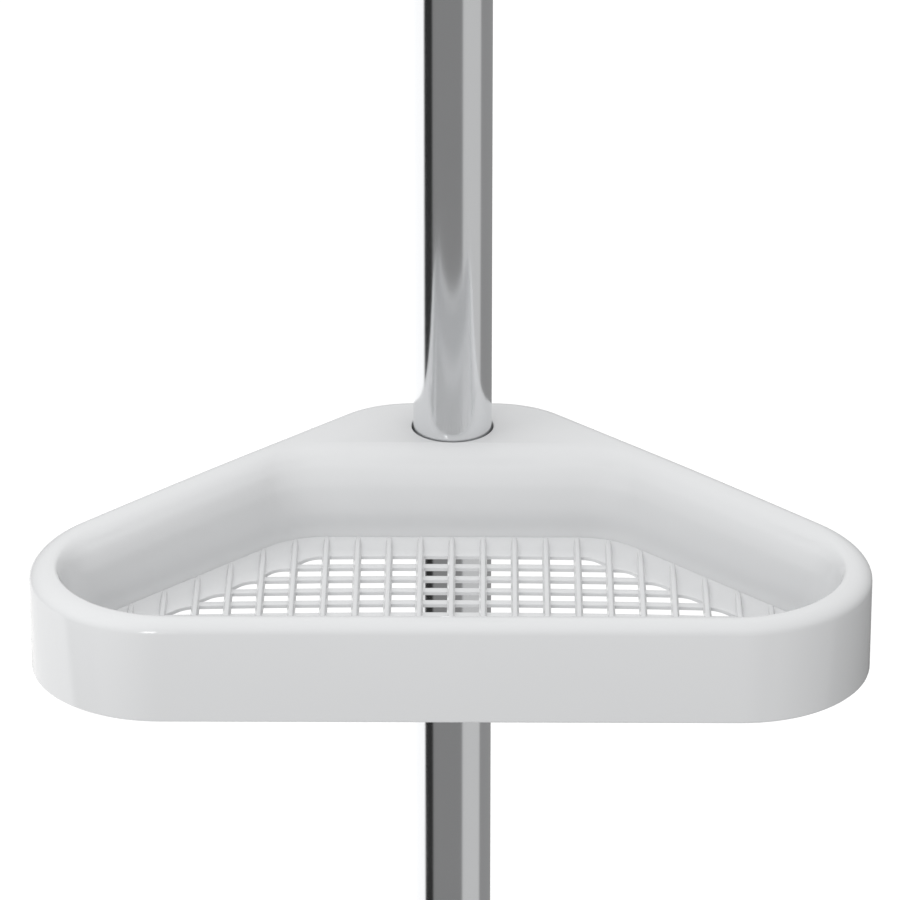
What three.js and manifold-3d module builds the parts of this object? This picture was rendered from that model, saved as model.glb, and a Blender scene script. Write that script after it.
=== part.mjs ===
// Tension-pole corner caddy: a chrome telescopic pole wedged between a floor and a ceiling,
// carrying three moulded corner trays. Millimetres, +Z up, origin at the centre of the floor
// pad's underside, on the pole's axis. The trays' straight fronts face -Y.
import * as THREE from 'three';
import { mergeVertices } from 'three/addons/utils/BufferGeometryUtils.js';
import Module from 'manifold-3d';

const wasm = await Module();
wasm.setup();

// ---- Driving dimensions --------------------------------------------------------------------
const GAP = 0.3;                 // clearance between neighbouring pieces
const ROUND_SEGMENTS = 30;       // facets round a turned piece
const SCREW_SEGMENTS = 16;

// Pole
const TUBE_RADIUS = 12.5;        // outer tube, 25 mm across
const TUBE_BORE = 11.7;
const TUBE_BOTTOM = 14;
const TUBE_TOP = 1030;
const INNER_RADIUS = 11;         // inner tube, 22 mm across
const INNER_BORE = 10;
const INNER_BOTTOM = 130;
const INNER_TOP = 1120;

// Feet
const PAD_RADIUS = 26;
const PAD_THICKNESS = 5;
const PAD_LIP = 2;               // how far the pad's lip climbs round the foot
const PAD_EDGE = 1.7;            // thickness of that lip
const FOOT_RADIUS = PAD_RADIUS - PAD_EDGE - GAP;
const FOOT_SIDE = 4;             // height of a foot's upright side
const FOOT_TOP = 38;
const CAP_BOTTOM = 1146;         // ceiling foot's lower end
const CEILING_Z = 1178;          // the ceiling pad's face: overall height

// Twist lock
const NUT_RADIUS = 19;
const NUT_BOTTOM = 1004;
const NUT_TOP = 1052;
const NUT_SHOULDER = 12;         // how far the nut's rounded top reaches down its side
const NUT_FLUTES = 10;
const FLUTE_RADIUS = 1.8;
const FLUTE_LENGTH = 30;
const COLLET_RADIUS = 15.5;
const COLLET_TOP = 1046;
const COLLET_TAPER = 10;
const COLLET_SLOT = 2;

// Spring plunger
const SPRING_BOTTOM = 1014;
const SPRING_TOP = 1096;
const SPRING_RADIUS = 8;         // mean radius of the coils
const SPRING_WIRE = 1.2;         // wire radius
const SPRING_TURNS = 7;
const SPRING_STEPS = 10;         // straight steps in one turn
const PLUNGER_RADIUS = 7;

// Trays: each is measured from its own deck plane and the pole's axis
const DECK_HEIGHTS = { bottom: 250, middle: 545, top: 840 };
const TRAY_HALF_WIDTH = 128.3;
const TRAY_FRONT = 140;          // pole axis to the front face
const TRAY_BACK = 20.5;          // pole axis to the flat back
const TRAY_DEPTH = 35;           // deck plane to the skirt's lower edge
const FRONT_RADIUS = 41;         // plan radius of the two front corners
const BACK_RADIUS = 31;          // plan radius of the two corners beside the pole
const WALL = 2.4;
const RIM_RADIUS = 4.2;          // round of the rolled rim
const RIM_FLAT = 0.6;            // narrow flat on top of the rim
const RIM_DROP = 2;              // how much lower the rim is at the front than at the deck
const DECK_FRONT = -13;          // where the deck turns down into the basin
const DECK_THICKNESS = 3.2;
const SIDE_LINE = TRAY_HALF_WIDTH - TRAY_FRONT + Math.SQRT2 * FRONT_RADIUS;

// Drain floor
const FLOOR_TOP = -23.8;
const FLOOR_THICKNESS = 2.4;
const LEDGE_THICKNESS = 1.5;
const FLOOR_BORDER = 11;         // solid margin round the openings
const RIB_PITCH = 9.87;          // front-to-back ribs
const RIB_WIDTH = 2.5;
const BAR_PITCH = 8.6;           // cross bars
const BAR_WIDTH = 2.9;
const BAR_BOW = 0.0003;          // bars bend forward by this much times x squared
const LEAST_OPENING = 1.5;       // a narrower one at a row's end is left solid

// Hub and its split wedge
const HUB_HOLE = 13;
const HUB_RADIUS = 19.5;
const HUB_BOTTOM = -32;
const WEDGE_BORE = TUBE_RADIUS + GAP;
const WEDGE_TOP = -5;
const WEDGE_TOP_RADIUS = 14.2;
const WEDGE_BOTTOM_RADIUS = 15.8;
const WEDGE_FLANGE_RADIUS = 18;
const WEDGE_FLANGE = 2.4;
const WEDGE_SPLIT = 1.2;

// ---- Materials -----------------------------------------------------------------------------
const finish = (color, roughness, metalness) => (
  () => new THREE.MeshStandardMaterial({ color, roughness, metalness })
);
const chrome = finish('#c4c6c9', 0.08, 1.0);
const steel = finish('#8d9196', 0.35, 1.0);
const whiteGloss = finish('#e2e4e6', 0.22, 0.0);
const whiteMatte = finish('#d3d6d8', 0.5, 0.0);
const rubber = finish('#c9cccd', 0.8, 0.0);

// ---- Solids --------------------------------------------------------------------------------
function solidFrom(geometry) {
  const plain = geometry.index ? geometry.clone() : geometry;
  plain.deleteAttribute('normal');
  plain.deleteAttribute('uv');
  const merged = mergeVertices(plain, 1e-4);
  return new wasm.Manifold(new wasm.Mesh({
    numProp: 3,
    vertProperties: Float32Array.from(merged.attributes.position.array),
    triVerts: Uint32Array.from(merged.index.array),
  }));
}

function geometryFrom(solid) {
  const { vertProperties, triVerts } = solid.getMesh();
  const geometry = new THREE.BufferGeometry();
  geometry.setAttribute('position', new THREE.BufferAttribute(new Float32Array(vertProperties), 3));
  geometry.setIndex(new THREE.BufferAttribute(new Uint32Array(triVerts), 1));
  geometry.computeVertexNormals();
  return geometry;
}

// A turned piece: the profile is [radius, z] points, anticlockwise, and a bored one closes.
function turned(profile, segments = ROUND_SEGMENTS) {
  const bored = profile.every(([radius]) => radius > 0);
  const points = profile.map(([radius, z]) => new THREE.Vector2(radius, z));
  if (bored) points.push(points[0].clone());
  return new THREE.LatheGeometry(points, segments).rotateX(Math.PI / 2);
}

function tube(outer, bore, bottom, top) {
  return turned([[bore, bottom], [outer, bottom], [outer, top], [bore, top]]);
}

// A box from its lowest corner to its highest.
function block([x0, y0, z0], [x1, y1, z1]) {
  const box = new THREE.BoxGeometry(x1 - x0, y1 - y0, z1 - z0);
  return box.translate((x0 + x1) / 2, (y0 + y1) / 2, (z0 + z1) / 2);
}

function arc(centreX, centreY, radius, fromDegrees, toDegrees, steps) {
  return Array.from({ length: steps + 1 }, (_, i) => {
    const angle = THREE.MathUtils.degToRad(fromDegrees + ((toDegrees - fromDegrees) * i) / steps);
    return [centreX + radius * Math.cos(angle), centreY + radius * Math.sin(angle)];
  });
}

// ---- Tray outline --------------------------------------------------------------------------
const CORNER_STEPS = 6;
const SHOULDER_STEPS = 3;
const SIDE_POINTS = 2;

// A rounded right-angled triangle seen from above, anticlockwise: a front line at y = -front,
// 45 degree sides on x + y = side, and a flat back at y = back.
function outline({ front, side, back, frontRadius, backRadius }) {
  const cornerX = side - Math.SQRT2 * frontRadius + front - frontRadius;
  const shoulderX = side - Math.SQRT2 * backRadius - back + backRadius;
  const corner = arc(cornerX, frontRadius - front, frontRadius, -90, 45, CORNER_STEPS);
  const shoulder = arc(shoulderX, back - backRadius, backRadius, 45, 90, SHOULDER_STEPS);
  const [fromX, fromY] = corner[CORNER_STEPS];
  const [toX, toY] = shoulder[0];
  const straight = Array.from({ length: SIDE_POINTS }, (_, i) => {
    const t = (i + 1) / (SIDE_POINTS + 1);
    return [fromX + (toX - fromX) * t, fromY + (toY - fromY) * t];
  });
  const right = [...corner, ...straight, ...shoulder];
  const left = right.map(([x, y]) => [-x, y]).reverse();
  return [...right, ...left];
}

// The tray's outer outline moved in by a distance all round.
function outerRing(inset, z) {
  return {
    front: TRAY_FRONT - inset,
    side: SIDE_LINE - Math.SQRT2 * inset,
    back: TRAY_BACK - inset,
    frontRadius: FRONT_RADIUS - inset,
    backRadius: BACK_RADIUS - inset,
    z,
  };
}

// An outline of the basin: its own inset at the front and sides, and its own back line.
function basinRing(frontInset, sideInset, cornerInset, back, backRadius, z) {
  return {
    front: TRAY_FRONT - frontInset,
    side: SIDE_LINE - Math.SQRT2 * sideInset,
    back,
    frontRadius: FRONT_RADIUS - cornerInset,
    backRadius,
    z,
  };
}

// The rim eases down towards the front, and the floor stays level.
function rimDrop(y, z) {
  const forward = THREE.MathUtils.smoothstep(-y, 20, 130);
  const height = THREE.MathUtils.clamp(1 - z / FLOOR_TOP, 0, 1);
  return RIM_DROP * forward * height;
}

// A ring-shaped skin through closed outlines, the last joined back to the first.
function loft(rings) {
  const loops = rings.map((ring) => outline(ring).map(([x, y]) => [x, y, ring.z - rimDrop(y, ring.z)]));
  const count = loops[0].length;
  const index = [];
  loops.forEach((_, i) => {
    const next = (i + 1) % loops.length;
    for (let j = 0; j < count; j += 1) {
      const k = (j + 1) % count;
      index.push(i * count + j, i * count + k, next * count + k);
      index.push(i * count + j, next * count + k, next * count + j);
    }
  });
  const geometry = new THREE.BufferGeometry();
  geometry.setAttribute('position', new THREE.Float32BufferAttribute(loops.flat(2), 3));
  geometry.setIndex(index);
  return geometry;
}

// ---- Tray ----------------------------------------------------------------------------------
const RIM_EDGE = RIM_RADIUS * (1 - Math.SQRT1_2);      // 45 degree point of the rim's round
const POCKET = { frontInset: 11, sideInset: 20.5, cornerInset: 15.75, back: -33, backRadius: 25 };
const POCKET_BOTTOM = FLOOR_TOP - FLOOR_THICKNESS - GAP;
const LEDGE_BOTTOM = POCKET_BOTTOM - LEDGE_THICKNESS;
const LEDGE_WIDTH = 3;
const SKIRT_EDGE = 0.8;          // rounding of the skirt's lower edge

// Insets at the front, the sides and the corners, back line, back radius and height of each outline.
const BASIN_FACE = [
  [RIM_RADIUS + RIM_FLAT, RIM_RADIUS + RIM_FLAT, RIM_RADIUS + RIM_FLAT, DECK_FRONT, 15, 0],
  [7.8, 10, 10, -19.8, 18, -RIM_EDGE],
  [9, 14, 13.7, -24.8, 20, -RIM_RADIUS],
  [9.2, 17.5, 16, -29.5, 22.5, -10],
  [9.6, 19, 16.2, -31.4, 24, -16],
  [10, 19.7, 15.8, -32.2, 24.6, -21],
];
const BASIN_UNDERSIDE = [
  [7.8, 17.6, 13, -30.6, 24, LEDGE_BOTTOM],
  [7.4, 16.6, 13.5, -29.2, 23, -18],
  [6.9, 15, 13.6, -27.2, 21, -11],
  [6.3, 11, 10.8, -22, 18.6, -5.4],
  [5.4, 5.4, 5.4, -14, 16, -DECK_THICKNESS],
];

function pocketRing(inward, z) {
  const insets = [POCKET.frontInset, POCKET.sideInset, POCKET.cornerInset].map((inset) => inset + inward);
  return basinRing(...insets, POCKET.back - inward, POCKET.backRadius - inward, z);
}

function trayShell() {
  return loft([
    // skirt and rolled rim
    outerRing(SKIRT_EDGE, -TRAY_DEPTH),
    outerRing(0, SKIRT_EDGE - TRAY_DEPTH),
    outerRing(0, -RIM_RADIUS),
    outerRing(RIM_EDGE, -RIM_EDGE),
    outerRing(RIM_RADIUS, 0),
    // deck edge, shoulder and basin wall
    ...BASIN_FACE.map((row) => basinRing(...row)),
    // pocket and ledge that carry the drain floor
    pocketRing(0, FLOOR_TOP),
    pocketRing(0, POCKET_BOTTOM),
    pocketRing(LEDGE_WIDTH, POCKET_BOTTOM),
    pocketRing(LEDGE_WIDTH, LEDGE_BOTTOM),
    // underside, back up to the deck and down inside the skirt
    ...BASIN_UNDERSIDE.map((row) => basinRing(...row)),
    outerRing(WALL + 1, -DECK_THICKNESS),
    outerRing(WALL, -DECK_THICKNESS - 1.8),
    outerRing(WALL, -TRAY_DEPTH),
  ]);
}

const WEB_HALF = 1;              // half the thickness of the webs round the hub
const FRONT_WEB = { front: -25, bottom: -24, top: -10 };

function hubWebs() {
  const bottom = HUB_BOTTOM + 2;
  const top = -DECK_THICKNESS / 2;
  const start = HUB_RADIUS - 3;
  const end = SIDE_LINE - WALL / 2;
  return [
    block([start, -WEB_HALF, bottom], [end, WEB_HALF, top]),
    block([-end, -WEB_HALF, bottom], [-start, WEB_HALF, top]),
    block([-WEB_HALF, FRONT_WEB.front, FRONT_WEB.bottom], [WEB_HALF, -start, FRONT_WEB.top]),
  ];
}

function hubSocket() {
  const top = WEDGE_TOP + GAP;
  return turned([
    [0, -TRAY_DEPTH - 1],
    [WEDGE_BOTTOM_RADIUS + GAP, -TRAY_DEPTH - 1],
    [WEDGE_BOTTOM_RADIUS + GAP, HUB_BOTTOM],
    [WEDGE_TOP_RADIUS + GAP, top],
    [HUB_HOLE, top],
    [HUB_HOLE, 1],
    [0, 1],
  ]);
}

function trayGeometry() {
  const boss = turned([
    [0, HUB_BOTTOM],
    [HUB_RADIUS - 1, HUB_BOTTOM],
    [HUB_RADIUS, -DECK_THICKNESS - 1],
    [HUB_RADIUS - 3, -DECK_THICKNESS / 2],
    [0, -DECK_THICKNESS / 2],
  ]);
  let tray = solidFrom(trayShell()).add(solidFrom(boss));
  hubWebs().forEach((web) => { tray = tray.add(solidFrom(web)); });
  return geometryFrom(tray.subtract(solidFrom(hubSocket())));
}

// ---- Drain floor ---------------------------------------------------------------------------
// A flat plate in the outline of a ring, from z = bottom to z = top.
function plate(ring, bottom, top) {
  const shape = new THREE.Shape(outline(ring).map(([x, y]) => new THREE.Vector2(x, y)));
  const geometry = new THREE.ExtrudeGeometry(shape, { depth: top - bottom, bevelEnabled: false });
  return geometry.translate(0, 0, bottom);
}

// Half the width of a ring's outline on the line at y.
function halfWidth(ring, y) {
  const points = outline(ring).filter(([x]) => x >= 0);
  const next = points.findIndex(([, pointY]) => pointY > y);
  if (next < 1) return 0;
  const [[x0, y0], [x1, y1]] = [points[next - 1], points[next]];
  return x0 + ((x1 - x0) * (y - y0)) / (y1 - y0);
}

function drainFloorGeometry() {
  const bottom = FLOOR_TOP - FLOOR_THICKNESS;
  const open = pocketRing(GAP + FLOOR_BORDER, 0);
  const columns = Math.ceil(TRAY_HALF_WIDTH / RIB_PITCH);
  const rows = Math.floor((open.front + open.back) / BAR_PITCH);
  let cells = null;
  for (let row = 0; row < rows; row += 1) {
    for (let column = -columns; column < columns; column += 1) {
      const left = column * RIB_PITCH + RIB_WIDTH / 2;
      const right = left + RIB_PITCH - RIB_WIDTH;
      const far = open.back - row * BAR_PITCH - BAR_BOW * ((left + right) / 2) ** 2;
      const near = far - BAR_PITCH + BAR_WIDTH;
      const inner = Math.min(Math.abs(left), Math.abs(right));
      if (Math.max(halfWidth(open, near), halfWidth(open, far)) < inner + LEAST_OPENING) continue;
      const cell = solidFrom(block([left, near, bottom - 1], [right, far, 0]));
      cells = cells ? cells.add(cell) : cell;
    }
  }
  const openArea = solidFrom(plate(open, bottom - 1, 0));
  const floor = solidFrom(plate(pocketRing(GAP, 0), bottom, FLOOR_TOP));
  return geometryFrom(floor.subtract(cells.intersect(openArea)));
}

// ---- Split wedge ---------------------------------------------------------------------------
function wedgeGeometry(sign) {
  const flangeTop = HUB_BOTTOM - GAP;
  const flangeBottom = flangeTop - WEDGE_FLANGE;
  const sleeve = turned([
    [WEDGE_BORE, flangeBottom],
    [WEDGE_FLANGE_RADIUS, flangeBottom],
    [WEDGE_FLANGE_RADIUS, flangeTop],
    [WEDGE_BOTTOM_RADIUS, flangeTop],
    [WEDGE_TOP_RADIUS, WEDGE_TOP],
    [WEDGE_BORE, WEDGE_TOP],
  ]);
  const near = (sign * WEDGE_SPLIT) / 2;
  const far = sign * 30;
  const half = block([Math.min(near, far), -30, -40], [Math.max(near, far), 30, 0]);
  return geometryFrom(solidFrom(sleeve).intersect(solidFrom(half)));
}

// ---- Pole pieces ---------------------------------------------------------------------------
function floorPad() {
  const lip = PAD_THICKNESS + PAD_LIP;
  return turned([
    [0, 0],
    [PAD_RADIUS - 1, 0],
    [PAD_RADIUS, 1.5],
    [PAD_RADIUS, lip],
    [FOOT_RADIUS + GAP, lip],
    [FOOT_RADIUS + GAP, PAD_THICKNESS],
    [0, PAD_THICKNESS],
  ]);
}

const SCREW_HEAD = 4;            // radius of the screw's head
const SCREW_HEAD_HEIGHT = 2.6;
const SCREW_SHANK = 1.6;
const SCREW_SEAT = 10.3;
const SCREW_REACH = 18;          // how far the shank runs up past the tube's end
const PLUG_LENGTH = 26;

function floorFoot() {
  const bottom = PAD_THICKNESS + GAP;
  const socket = TUBE_RADIUS + GAP;
  const seat = TUBE_BOTTOM - GAP;
  return turned([
    [SCREW_HEAD + GAP, bottom],
    [FOOT_RADIUS, bottom],
    [FOOT_RADIUS, bottom + FOOT_SIDE],
    [FOOT_RADIUS - 2.2, bottom + FOOT_SIDE + 4],
    [socket + 4.4, bottom + 14],
    [socket + 3.2, FOOT_TOP - 1],
    [socket + 2.2, FOOT_TOP],
    [socket, FOOT_TOP],
    [socket, seat],
    [SCREW_SHANK + GAP, seat],
    [SCREW_SHANK + GAP, SCREW_SEAT],
    [SCREW_HEAD + GAP, SCREW_SEAT],
  ]);
}

function footPlug() {
  const bore = SCREW_SHANK + GAP;
  return tube(TUBE_BORE - GAP, bore, TUBE_BOTTOM, TUBE_BOTTOM + PLUG_LENGTH);
}

function footScrew() {
  const under = SCREW_SEAT - GAP;
  return turned([
    [0, under - SCREW_HEAD_HEIGHT],
    [SCREW_HEAD - 1, under - SCREW_HEAD_HEIGHT],
    [SCREW_HEAD, under - SCREW_HEAD_HEIGHT / 2],
    [SCREW_HEAD, under],
    [SCREW_SHANK, under],
    [SCREW_SHANK, TUBE_BOTTOM + SCREW_REACH],
    [0, TUBE_BOTTOM + SCREW_REACH + 2],
  ], SCREW_SEGMENTS);
}

function lockCollet() {
  const grip = INNER_RADIUS + GAP;
  const ring = turned([
    [TUBE_RADIUS + GAP, NUT_BOTTOM + 2],
    [COLLET_RADIUS, NUT_BOTTOM + 2],
    [COLLET_RADIUS, COLLET_TOP - COLLET_TAPER],
    [grip + 2.3, COLLET_TOP],
    [grip, COLLET_TOP],
    [grip, TUBE_TOP + GAP],
    [TUBE_RADIUS + GAP, TUBE_TOP + GAP],
  ]);
  const slotHalf = COLLET_SLOT / 2;
  const reach = COLLET_RADIUS + 2;
  const low = TUBE_TOP + 3;
  const high = COLLET_TOP + 1;
  const slots = [
    block([-reach, -slotHalf, low], [reach, slotHalf, high]),
    block([-slotHalf, -reach, low], [slotHalf, reach, high]),
  ];
  return geometryFrom(slots.reduce((collet, slot) => collet.subtract(solidFrom(slot)), solidFrom(ring)));
}

function lockNut() {
  const bore = COLLET_RADIUS + GAP;
  const throat = INNER_RADIUS + GAP + 0.1;
  const ring = turned([
    [bore, NUT_BOTTOM],
    [NUT_RADIUS - 1, NUT_BOTTOM],
    [NUT_RADIUS, NUT_BOTTOM + 1.5],
    [NUT_RADIUS, NUT_TOP - NUT_SHOULDER],
    [NUT_RADIUS - 1.6, NUT_TOP - 3],
    [NUT_RADIUS - 4, NUT_TOP],
    [throat, NUT_TOP],
    [throat, COLLET_TOP + GAP],
    [throat + 2.6, COLLET_TOP + GAP],
    [bore, COLLET_TOP - COLLET_TAPER + GAP],
  ]);
  const circle = NUT_RADIUS + 0.7;
  const middle = NUT_BOTTOM + 4 + FLUTE_LENGTH / 2;
  let nut = solidFrom(ring);
  for (let i = 0; i < NUT_FLUTES; i += 1) {
    const angle = ((i + 0.5) * 2 * Math.PI) / NUT_FLUTES;
    const flute = new THREE.CylinderGeometry(FLUTE_RADIUS, FLUTE_RADIUS, FLUTE_LENGTH, 6);
    flute.rotateX(Math.PI / 2);
    flute.translate(circle * Math.cos(angle), circle * Math.sin(angle), middle);
    nut = nut.subtract(solidFrom(flute));
  }
  return geometryFrom(nut);
}

const BUSH_BORE = 6;
const BUSH_COLLAR = 6;           // height of the collar below the inner tube
const BUSH_LENGTH = 18;
const STOP_HEIGHT = 12;
const STOP_PEG = 8;              // height of the peg that centres the spring

// A plug in the inner tube's lower end, with a collar that slides in the outer tube.
function guideBush() {
  const collar = TUBE_BORE - GAP;
  return turned([
    [BUSH_BORE, INNER_BOTTOM - BUSH_COLLAR],
    [collar, INNER_BOTTOM - BUSH_COLLAR],
    [collar, INNER_BOTTOM - GAP],
    [INNER_BORE - GAP, INNER_BOTTOM - GAP],
    [INNER_BORE - GAP, INNER_BOTTOM + BUSH_LENGTH],
    [BUSH_BORE, INNER_BOTTOM + BUSH_LENGTH],
  ]);
}

function springStop() {
  const seat = SPRING_BOTTOM - SPRING_WIRE - GAP;
  const peg = SPRING_RADIUS - SPRING_WIRE - 1;
  return turned([
    [0, seat - STOP_HEIGHT],
    [INNER_BORE - GAP, seat - STOP_HEIGHT],
    [INNER_BORE - GAP, seat],
    [peg, seat],
    [peg - 1, seat + STOP_PEG],
    [0, seat + STOP_PEG],
  ]);
}

class Helix extends THREE.Curve {
  getPoint(t, target = new THREE.Vector3()) {
    const angle = 2 * Math.PI * SPRING_TURNS * t;
    const z = SPRING_BOTTOM + (SPRING_TOP - SPRING_BOTTOM) * t;
    return target.set(SPRING_RADIUS * Math.cos(angle), SPRING_RADIUS * Math.sin(angle), z);
  }
}

function tensionSpring() {
  const section = new THREE.Shape(arc(0, 0, SPRING_WIRE, 0, 288, 4).map(([x, y]) => new THREE.Vector2(x, y)));
  const steps = SPRING_TURNS * SPRING_STEPS;
  return new THREE.ExtrudeGeometry(section, { steps, bevelEnabled: false, extrudePath: new Helix() });
}

const PLUNGER_HEAD = SPRING_TOP + SPRING_WIRE + GAP;    // underside of the plunger's flange
const PLUNGER_FLANGE = 5;
const PLUNGER_TOP = 1165;

function plunger() {
  return turned([
    [0, PLUNGER_HEAD],
    [INNER_BORE - GAP, PLUNGER_HEAD],
    [INNER_BORE - GAP, PLUNGER_HEAD + PLUNGER_FLANGE],
    [PLUNGER_RADIUS, PLUNGER_HEAD + PLUNGER_FLANGE],
    [PLUNGER_RADIUS, PLUNGER_TOP],
    [0, PLUNGER_TOP],
  ]);
}

const CAP_HEIGHT = 4;            // height of the bush's cap above the inner tube
const CAP_OVERHANG = 1;

function plungerBush() {
  const bore = PLUNGER_RADIUS + GAP;
  const bottom = PLUNGER_HEAD + PLUNGER_FLANGE + GAP;
  return turned([
    [bore, bottom],
    [INNER_BORE - GAP, bottom],
    [INNER_BORE - GAP, INNER_TOP + GAP],
    [INNER_RADIUS + CAP_OVERHANG, INNER_TOP + GAP],
    [INNER_RADIUS + CAP_OVERHANG, INNER_TOP + CAP_HEIGHT - 1.5],
    [INNER_RADIUS, INNER_TOP + CAP_HEIGHT],
    [bore, INNER_TOP + CAP_HEIGHT],
  ]);
}

function ceilingFoot() {
  const top = CEILING_Z - PAD_THICKNESS - GAP;
  const socket = PLUNGER_RADIUS + GAP;
  return turned([
    [socket, CAP_BOTTOM],
    [socket + 3, CAP_BOTTOM],
    [socket + 5, CAP_BOTTOM + 2],
    [socket + 6, top - 14],
    [FOOT_RADIUS - 2.2, top - FOOT_SIDE - 3],
    [FOOT_RADIUS, top - FOOT_SIDE],
    [FOOT_RADIUS, top],
    [0, top],
    [0, PLUNGER_TOP + GAP],
    [socket, PLUNGER_TOP + GAP],
    [socket, CAP_BOTTOM],
  ]);
}

function ceilingPad() {
  const bottom = CEILING_Z - PAD_THICKNESS;
  return turned([
    [0, bottom],
    [FOOT_RADIUS + GAP, bottom],
    [FOOT_RADIUS + GAP, bottom - PAD_LIP],
    [PAD_RADIUS, bottom - PAD_LIP],
    [PAD_RADIUS, CEILING_Z - 1.5],
    [PAD_RADIUS - 1, CEILING_Z],
    [0, CEILING_Z],
  ]);
}

// ---- Assembly ------------------------------------------------------------------------------
const caddy = new THREE.Group();

function add(parent, name, geometry, material) {
  const mesh = new THREE.Mesh(geometry, material());
  mesh.name = name;
  parent.add(mesh);
}

add(caddy, 'floor_pad', floorPad(), rubber);
add(caddy, 'floor_foot', floorFoot(), whiteGloss);
add(caddy, 'foot_plug', footPlug(), whiteMatte);
add(caddy, 'foot_screw', footScrew(), steel);
add(caddy, 'outer_tube', tube(TUBE_RADIUS, TUBE_BORE, TUBE_BOTTOM, TUBE_TOP), chrome);
add(caddy, 'lock_collet', lockCollet(), whiteMatte);
add(caddy, 'lock_nut', lockNut(), whiteGloss);
add(caddy, 'inner_tube', tube(INNER_RADIUS, INNER_BORE, INNER_BOTTOM, INNER_TOP), chrome);
add(caddy, 'guide_bush', guideBush(), whiteMatte);
add(caddy, 'spring_stop', springStop(), whiteMatte);
add(caddy, 'tension_spring', tensionSpring(), steel);
add(caddy, 'plunger', plunger(), steel);
add(caddy, 'plunger_bush', plungerBush(), whiteGloss);
add(caddy, 'ceiling_foot', ceilingFoot(), whiteGloss);
add(caddy, 'ceiling_pad', ceilingPad(), rubber);

Object.entries(DECK_HEIGHTS).forEach(([level, height]) => {
  const shelf = new THREE.Group();
  shelf.position.z = height;
  add(shelf, `${level}_tray`, trayGeometry(), whiteGloss);
  add(shelf, `${level}_drain_floor`, drainFloorGeometry(), whiteGloss);
  add(shelf, `${level}_wedge_left`, wedgeGeometry(-1), whiteMatte);
  add(shelf, `${level}_wedge_right`, wedgeGeometry(1), whiteMatte);
  caddy.add(shelf);
});

export default caddy;
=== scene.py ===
import math

import bmesh
import bpy
from mathutils import Matrix, Vector


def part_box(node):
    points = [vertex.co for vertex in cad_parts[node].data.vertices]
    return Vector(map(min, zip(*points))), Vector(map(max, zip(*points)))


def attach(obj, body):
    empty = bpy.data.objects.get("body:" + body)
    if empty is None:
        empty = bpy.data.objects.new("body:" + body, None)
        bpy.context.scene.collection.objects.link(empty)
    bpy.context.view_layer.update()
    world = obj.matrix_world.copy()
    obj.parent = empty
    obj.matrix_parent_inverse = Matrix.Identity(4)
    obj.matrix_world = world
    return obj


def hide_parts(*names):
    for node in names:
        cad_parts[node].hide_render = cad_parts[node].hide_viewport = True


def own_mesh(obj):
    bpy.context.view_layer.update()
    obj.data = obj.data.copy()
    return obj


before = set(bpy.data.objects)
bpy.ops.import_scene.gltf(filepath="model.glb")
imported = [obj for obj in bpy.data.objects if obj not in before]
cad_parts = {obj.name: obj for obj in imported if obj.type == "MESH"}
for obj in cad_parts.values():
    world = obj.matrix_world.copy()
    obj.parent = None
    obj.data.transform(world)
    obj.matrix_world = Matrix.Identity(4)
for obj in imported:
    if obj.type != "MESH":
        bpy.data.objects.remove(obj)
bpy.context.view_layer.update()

MM = 0.001
GAP = 0.3                       # clearance between neighbouring pieces, in millimetres
LEVELS = ("bottom", "middle", "top")


# ---- Sizes, in millimetres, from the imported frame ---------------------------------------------
def extent(node):
    """Lowest and highest corner of a CAD node, in millimetres."""
    low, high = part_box(node)
    return low / MM, high / MM


def turned_size(node):
    """Radius, bottom and top of a turned CAD node."""
    low, high = extent(node)
    return (high.y - low.y) / 2, low.z, high.z


TRAY_LOW, TRAY_HIGH = extent("top_tray")
DECK_HEIGHTS = {level: extent(f"{level}_tray")[1].z for level in LEVELS}
TRAY_HALF_WIDTH = TRAY_HIGH.x
TRAY_FRONT = -TRAY_LOW.y
TRAY_BACK = TRAY_HIGH.y
TRAY_DEPTH = TRAY_HIGH.z - TRAY_LOW.z
FLOOR_LOW, FLOOR_HIGH = extent("top_drain_floor")
FLOOR_TOP = FLOOR_HIGH.z - TRAY_HIGH.z
FLOOR_BOTTOM = FLOOR_LOW.z - TRAY_HIGH.z
TUBE_RADIUS, TUBE_BOTTOM, _ = turned_size("outer_tube")

FRONT_RADIUS = 41
BACK_RADIUS = 31
WALL = 2.4
RIM_RADIUS = 4.2
RIM_DROP = 2
DECK_FRONT = -13
DECK_THICKNESS = 3.2
SIDE_LINE = TRAY_HALF_WIDTH - TRAY_FRONT + math.sqrt(2) * FRONT_RADIUS

# ---- Camera -----------------------------------------------------------------------------------
CAMERA_AZIMUTH = math.radians(0.34)
CAMERA_ELEVATION = math.radians(24.54)
CAMERA_DISTANCE = 1.918
CAMERA_LENS = 240
SENSOR_WIDTH = 36
CAMERA_AIM = Vector((-0.8, 0, DECK_HEIGHTS["top"] - 8.7)) * MM


def make_camera():
    """The camera at the photograph's angle, aimed just below the top tray's deck."""
    data = bpy.data.cameras.new("camera")
    data.lens = CAMERA_LENS
    data.sensor_width = SENSOR_WIDTH
    data.clip_start = 0.05
    data.clip_end = 100
    camera = bpy.data.objects.new("camera", data)
    bpy.context.scene.collection.objects.link(camera)
    flat = math.cos(CAMERA_ELEVATION)
    back = Vector((
        math.sin(CAMERA_AZIMUTH) * flat,
        -math.cos(CAMERA_AZIMUTH) * flat,
        math.sin(CAMERA_ELEVATION),
    ))
    camera.location = CAMERA_AIM + back * CAMERA_DISTANCE
    camera.rotation_mode = "QUATERNION"
    camera.rotation_quaternion = (-back).to_track_quat("-Z", "Y")
    bpy.context.scene.camera = camera


make_camera()


# ---- Node helpers -----------------------------------------------------------------------------
def grey(level):
    """A neutral colour of a light level."""
    return (level, level, level, 1)


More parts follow.
